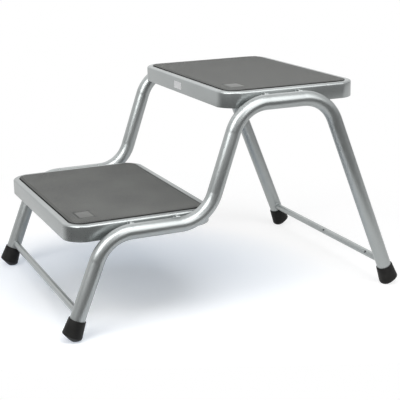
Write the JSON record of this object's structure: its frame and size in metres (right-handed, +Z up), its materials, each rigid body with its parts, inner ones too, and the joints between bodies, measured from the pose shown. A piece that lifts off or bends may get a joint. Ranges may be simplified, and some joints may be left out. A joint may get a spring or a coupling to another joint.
{
  "type": "portable double step",
  "caption": "Portable step of bent steel tube with a lower and an upper tread, grey rubber mats in pressed pans, thin stretchers between the legs and black rubber feet.",
  "frame": {"origin": "on the floor, in the middle of the footprint", "axes": "+X across the treads to the step's right side, -Y to its front where a person steps up, +Z up"},
  "size_m": [0.4898, 0.6898, 0.4087],
  "materials": {
    "frame_paint": "silver-grey metallic paint, satin",
    "pan_paint": "silver-grey metallic paint, satin",
    "mat_rubber": "grey rubber with a fine raised stud pattern",
    "foot_rubber": "black moulded rubber, matt",
    "washer_steel": "plain zinc-coated steel"
  },
  "bodies": {
    "root": {"left_side_tube": "frame_paint", "right_side_tube": "frame_paint", "front_stretcher": "frame_paint", "rear_stretcher": "frame_paint", "lower_left_front_tab": "frame_paint", "lower_right_front_tab": "frame_paint", "lower_left_rear_tab": "frame_paint", "lower_right_rear_tab": "frame_paint", "upper_left_front_tab": "frame_paint", "upper_right_front_tab": "frame_paint", "upper_left_rear_tab": "frame_paint", "upper_right_rear_tab": "frame_paint", "lower_step_pan": "pan_paint", "upper_step_pan": "pan_paint", "lower_pan_stiffener": "pan_paint", "upper_pan_stiffener": "pan_paint", "lower_tread_mat": "mat_rubber", "upper_tread_mat": "mat_rubber", "front_left_foot": "foot_rubber", "front_right_foot": "foot_rubber", "rear_left_foot": "foot_rubber", "rear_right_foot": "foot_rubber", "front_left_foot_washer": "washer_steel", "front_right_foot_washer": "washer_steel", "rear_left_foot_washer": "washer_steel", "rear_right_foot_washer": "washer_steel"}
  },
  "joints": []
}
